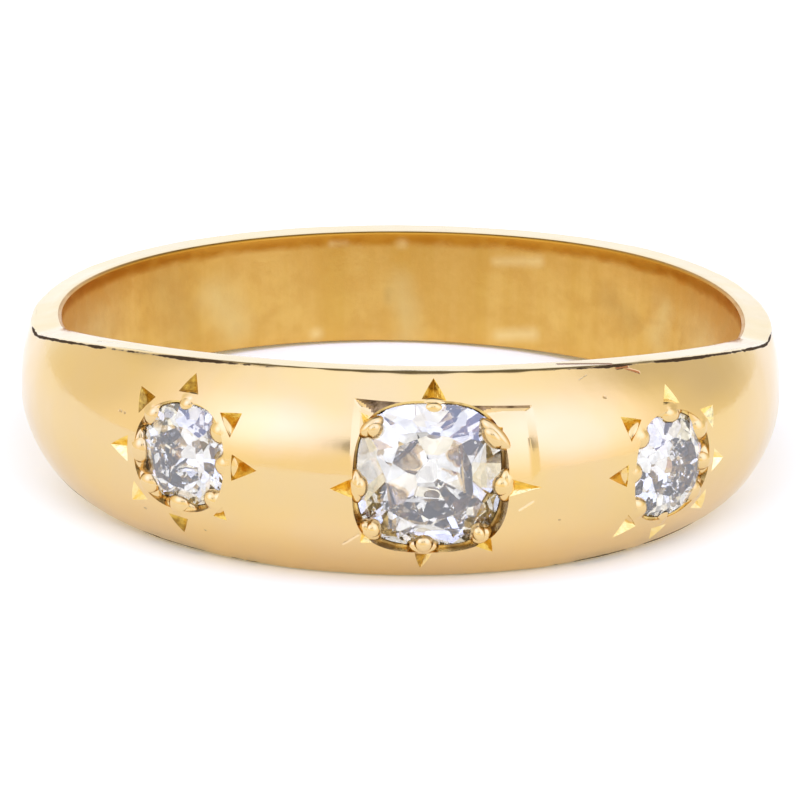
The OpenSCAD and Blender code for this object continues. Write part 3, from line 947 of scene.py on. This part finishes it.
def polished_gold():
    """Hand polished gold in two close tints: soft waves, fine wiping marks and small dents, a painted dark
    line of shade that comes and goes under the edges of the flats, and a few marks, the pale ones with a
    painted glint."""
    material, net, bsdf, place = surface("polished_gold")
    tint = net.ramp(net.noise(place, 0.45, 3.0), 0.35, 0.65)
    fine = net.noise(place, 1.3, 5.0, 0.6)
    colour = net.mix(tint, YELLOW, PALER_YELLOW)
    # Painted dark line of shade under the edges of the flats, broken by noise and barely metallic
    line = net.node("ShaderNodeAttribute", attribute_name="edge_shade_mask").outputs["Fac"]
    line = net.maths("MULTIPLY", line, net.ramp(net.noise(place, 0.5, 2.0), 0.38, 0.62, 0.6, 1.25))
    line = net.maths("ADD", line, net.maths("MULTIPLY", net.noise(place, 4.0, 3.0, 0.6), 0.9))
    line = net.ramp(line, 0.98, 1.2)
    copper = marks(net, place, COPPERY_MARKS)
    bright = marks(net, place, BRIGHT_MARKS)
    dark = marks(net, place, DARK_MARKS)
    colour = net.mix(copper, colour, COPPERY)
    # The bright marks take a painted glint
    colour = net.mix(net.maths("MULTIPLY", bright, 0.7), colour, RUBBED_GLINT)
    colour = net.mix(net.maths("MULTIPLY", dark, 0.5), colour, SPOTTED)
    colour = net.mix(line, colour, PAINTED_SHADE_LINE)
    net.put(bsdf.inputs["Metallic"], net.maths("SUBTRACT", 1.0, net.maths("MULTIPLY", line, 0.95)))
    net.put(bsdf.inputs["Specular IOR Level"], net.maths("MULTIPLY", net.maths("SUBTRACT", 1.0, line), 0.5))
    net.put(bsdf.inputs["Base Color"], colour)
    rough = net.maths("ADD", net.ramp(fine, 0.3, 0.7, 0.10, 0.17), net.maths("MULTIPLY", copper, 0.25))
    net.put(bsdf.inputs["Roughness"], rough)
    waves = net.bump(net.noise(place, 0.5, 2.0), 0.03)
    wiping = net.bump(net.noise(stretched(net, place, 1, 1, 9), 1.2, 3.0, 0.6), 0.0012, waves)
    grain = net.bump(net.noise(place, 4.5, 3.0, 0.55), 0.0016, wiping)
    hollows = net.maths("MAXIMUM", net.maths("MAXIMUM", copper, bright), dark)
    net.put(bsdf.inputs["Normal"], net.bump(net.maths("SUBTRACT", 1.0, hollows), 0.012, grain))
    return material


def inside_gold():
    """The inside of the hoop: worn satin with faint upright bands, broad paler and browner patches, small
    rubbed places and deeper gold along the upper edge, its colours all darker and deeper than the outside's
    as painted shade."""
    material, net, bsdf, place = surface("inside_gold")
    bands = net.ramp(net.noise(stretched(net, place, 1, 1, 0.08), 0.8, 4.0, 0.6), 0.35, 0.65)
    blotches = net.ramp(net.noise(place, 1.4, 4.0, 0.6), 0.3, 0.75)
    colour = net.mix(bands, INSIDE_DEEP, INSIDE_LIGHT)
    colour = net.mix(net.maths("MULTIPLY", blotches, 0.5), colour, INSIDE_BLOTCH)
    seam = marks(net, place, SEAM_MARKS, 0.5, 0.9)
    pale = marks(net, place, PALE_INSIDE_MARKS, 0.15, 1.2)
    brown = marks(net, place, BROWN_INSIDE_MARKS, 0.4, 0.9)
    colour = net.mix(net.maths("MULTIPLY", brown, 0.6), colour, INSIDE_BROWN)
    colour = net.mix(net.maths("MULTIPLY", seam, 0.85), colour, INSIDE_WORN)
    rim = net.node("ShaderNodeAttribute", attribute_name="rim_band").outputs["Fac"]
    rim = net.ramp(net.maths("ADD", rim, net.maths("MULTIPLY", net.noise(place, 1.2, 3.0), 0.6)), 0.5, 0.95)
    colour = net.mix(rim, colour, INSIDE_RIM)
    colour = net.mix(net.maths("MULTIPLY", pale, 0.55), colour, INSIDE_RUBBED)
    bsdf.inputs["Metallic"].default_value = 1.0
    net.put(bsdf.inputs["Base Color"], colour)
    net.put(bsdf.inputs["Roughness"], net.ramp(blotches, 0.0, 1.0, 0.28, 0.42))
    net.put(bsdf.inputs["Normal"], net.bump(net.noise(place, 2.2, 4.0, 0.6), 0.008))
    return material


def engraved_gold(name, low, high):
    """Gold cut by the graver, with its tool marks, in a tint between two colours; each pair holds painted
    light or shade.
    """
    material, net, bsdf, place = surface(name)
    tint = net.ramp(net.noise(place, 3.2, 3.0, 0.6), 0.35, 0.65)
    bsdf.inputs["Metallic"].default_value = 1.0
    net.put(bsdf.inputs["Base Color"], net.mix(tint, low, high))
    net.put(bsdf.inputs["Roughness"], net.ramp(tint, 0.0, 1.0, 0.14, 0.26))
    net.put(bsdf.inputs["Normal"], net.bump(net.noise(place, 6.0, 2.0, 0.6), 0.02))
    return material


def seat_gold():
    """Walls of the seats, dull and a little darkened where dirt stays."""
    material, net, bsdf, place = surface("seat_gold")
    dirt = net.ramp(net.noise(place, 1.7, 3.0, 0.6), 0.42, 0.66)
    bsdf.inputs["Metallic"].default_value = 1.0
    net.put(bsdf.inputs["Base Color"], net.mix(dirt, SEAT_CLEAN, SEAT_DIRTY))
    net.put(bsdf.inputs["Roughness"], net.ramp(dirt, 0.0, 1.0, 0.2, 0.4))
    net.put(bsdf.inputs["Normal"], net.bump(net.noise(place, 6.0, 3.0, 0.6), 0.015))
    return material


def clear_diamond():
    """Near colourless diamond, a little warm, with painted reflections of small facets as lighter and darker
    patches.
    """
    material, net, bsdf, place = surface("clear_diamond")
    patches = net.node("ShaderNodeTexVoronoi", {"Vector": place, "Scale": PATCHES}).outputs["Color"]
    patches = net.vector("DOT_PRODUCT", patches, (0.34, 0.33, 0.33), output="Value")
    patch_tone = net.ramp(patches, 0.3, 0.7)
    net.put(bsdf.inputs["Base Color"], net.mix(patch_tone, PAINTED_DARK_PATCH, CLEAR))
    bsdf.inputs["Roughness"].default_value = 0.0
    bsdf.inputs["IOR"].default_value = DIAMOND_IOR
    bsdf.inputs["Transmission Weight"].default_value = 0.98
    return material


def add_floor():
    """A pale floor that gives a little light of its own, like a lit studio table."""
    mesh = bpy.data.meshes.new("floor")
    half = 1.5
    corners = [(-half, -half, 0), (half, -half, 0), (half, half, 0), (-half, half, 0)]
    mesh.from_pydata(corners, [], [(0, 1, 2, 3)])
    floor = bpy.data.objects.new("floor", mesh)
    bpy.context.scene.collection.objects.link(floor)
    material, _, bsdf, _ = surface("pale_floor")
    bsdf.inputs["Base Color"].default_value = FLOOR
    bsdf.inputs["Roughness"].default_value = 0.9
    bsdf.inputs["Emission Color"].default_value = FLOOR_LIGHT
    bsdf.inputs["Emission Strength"].default_value = FLOOR_STRENGTH
    mesh.materials.append(material)


# World light: the even part, then soft lobes and dark parts of the studio. Azimuths count from the viewer's
# side towards +x. Then come height, half spread and softness in degrees, and red, green and blue or the
# share taken away
WORLD_BASE = (1.25, 1.2, 1.08)
LOBES = [
    (-53, 36, 20, 17, 0.35, 0.52, 1.6),
    (56, 32, 25, 20, 0.35, 0.52, 1.6),
    (-10, 74, 38, 22, 0.1, 0.3, 1.0),
    (180, 8, 34, 18, 0.0, 0.2, 0.6),
]
DARKS = [
    (172, 50, 24, 7, 0.85),
    (123, 21, 21, 17, 0.31),
    (113, 45, 9, 11, 0.28),
    (-125, 20, 26, 10, 0.13),
    (-140, 48, 18, 9, 0.3),
    (-13, 33, 7, 4, 0.6),
    (15, 40, 7, 4, 0.6),
]


def add_world():
    """Even light with brighter lobes and darker parts by direction."""
    world = bpy.data.worlds.new("studio")
    bpy.context.scene.world = world
    world.use_nodes = True
    net = Net(world.node_tree)
    direction = net.node("ShaderNodeTexCoord").outputs["Generated"]

    def lobe(az, el, spread, soft, strength):
        """A soft round patch of the sky, full in its middle."""
        a, e = math.radians(az), math.radians(el)
        towards = (math.cos(e) * math.sin(a), -math.cos(e) * math.cos(a), math.sin(e))
        arc = net.maths("ARCCOSINE", net.vector("DOT_PRODUCT", direction, towards, output="Value"))
        return net.ramp(arc, math.radians(spread + soft), math.radians(spread - soft), 0.0, strength)

    light = None
    for az, el, spread, soft, *colour in LOBES:
        light = net.vector("MULTIPLY_ADD", lobe(az, el, spread, soft, 1.0), colour, light or WORLD_BASE)
    for az, el, spread, soft, share in DARKS:
        left = net.maths("SUBTRACT", 1.0, lobe(az, el, spread, soft, share))
        light = net.vector("SCALE", light, scale=left)
    back = net.node("ShaderNodeBackground", {"Color": light})
    net.put(net.node("ShaderNodeOutputWorld").inputs[0], back.outputs[0])


def add_camera():
    """The camera that sees the ring from the front and a little above."""
    turn, rise = math.radians(VIEW_TURN), math.radians(VIEW_RISE)
    eye = Vector((
        VIEW_DISTANCE * math.cos(rise) * math.sin(turn),
        -VIEW_DISTANCE * math.cos(rise) * math.cos(turn),
        VIEW_DISTANCE * math.sin(rise),
    ))
    forward = -eye.normalized()
    right = forward.cross(Vector((0, 0, 1))).normalized()
    up = right.cross(forward)
    aim = -up * VIEW_DROP
    forward = (aim - eye).normalized()
    up = right.cross(forward)
    matrix = Matrix((right, up, -forward)).transposed().to_4x4()
    matrix.translation = eye
    ring = Matrix.Translation(MOVE) @ Matrix.Rotation(-LEAN, 4, "X")
    world = ring @ matrix @ Matrix.Rotation(math.radians(VIEW_ROLL), 4, "Z")
    world.translation *= MM
    camera = bpy.data.cameras.new("camera")
    camera.sensor_width = 36
    camera.lens = LENS
    camera.clip_start = 0.005
    camera.clip_end = 10
    obj = bpy.data.objects.new("camera", camera)
    obj.matrix_world = world
    bpy.context.scene.collection.objects.link(obj)
    bpy.context.scene.camera = obj


polished = polished_gold()
inside = inside_gold()
seated = seat_gold()
engraved = [engraved_gold(*tone) for tone in ENGRAVED]
# The upper slope of the bed, darkened with painted shade
shaded = engraved_gold(*SHADED)
diamond = clear_diamond()

band = build_band(polished, inside, engraved, seated, shaded)
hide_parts("band")
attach(band, "root")

for name, stone in STONES.items():
    piece = faceted_stone(stone, name + "_diamond")
    piece.data.materials.append(diamond)
    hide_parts(name + "_stone")
    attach(piece, "root")

add_floor()
add_world()
add_camera()
bpy.context.scene.view_settings.view_transform = "Standard"
# Light goes round inside a diamond many times before it comes out again
bpy.context.scene.cycles.glossy_bounces = 12
bpy.context.scene.cycles.max_bounces = 16
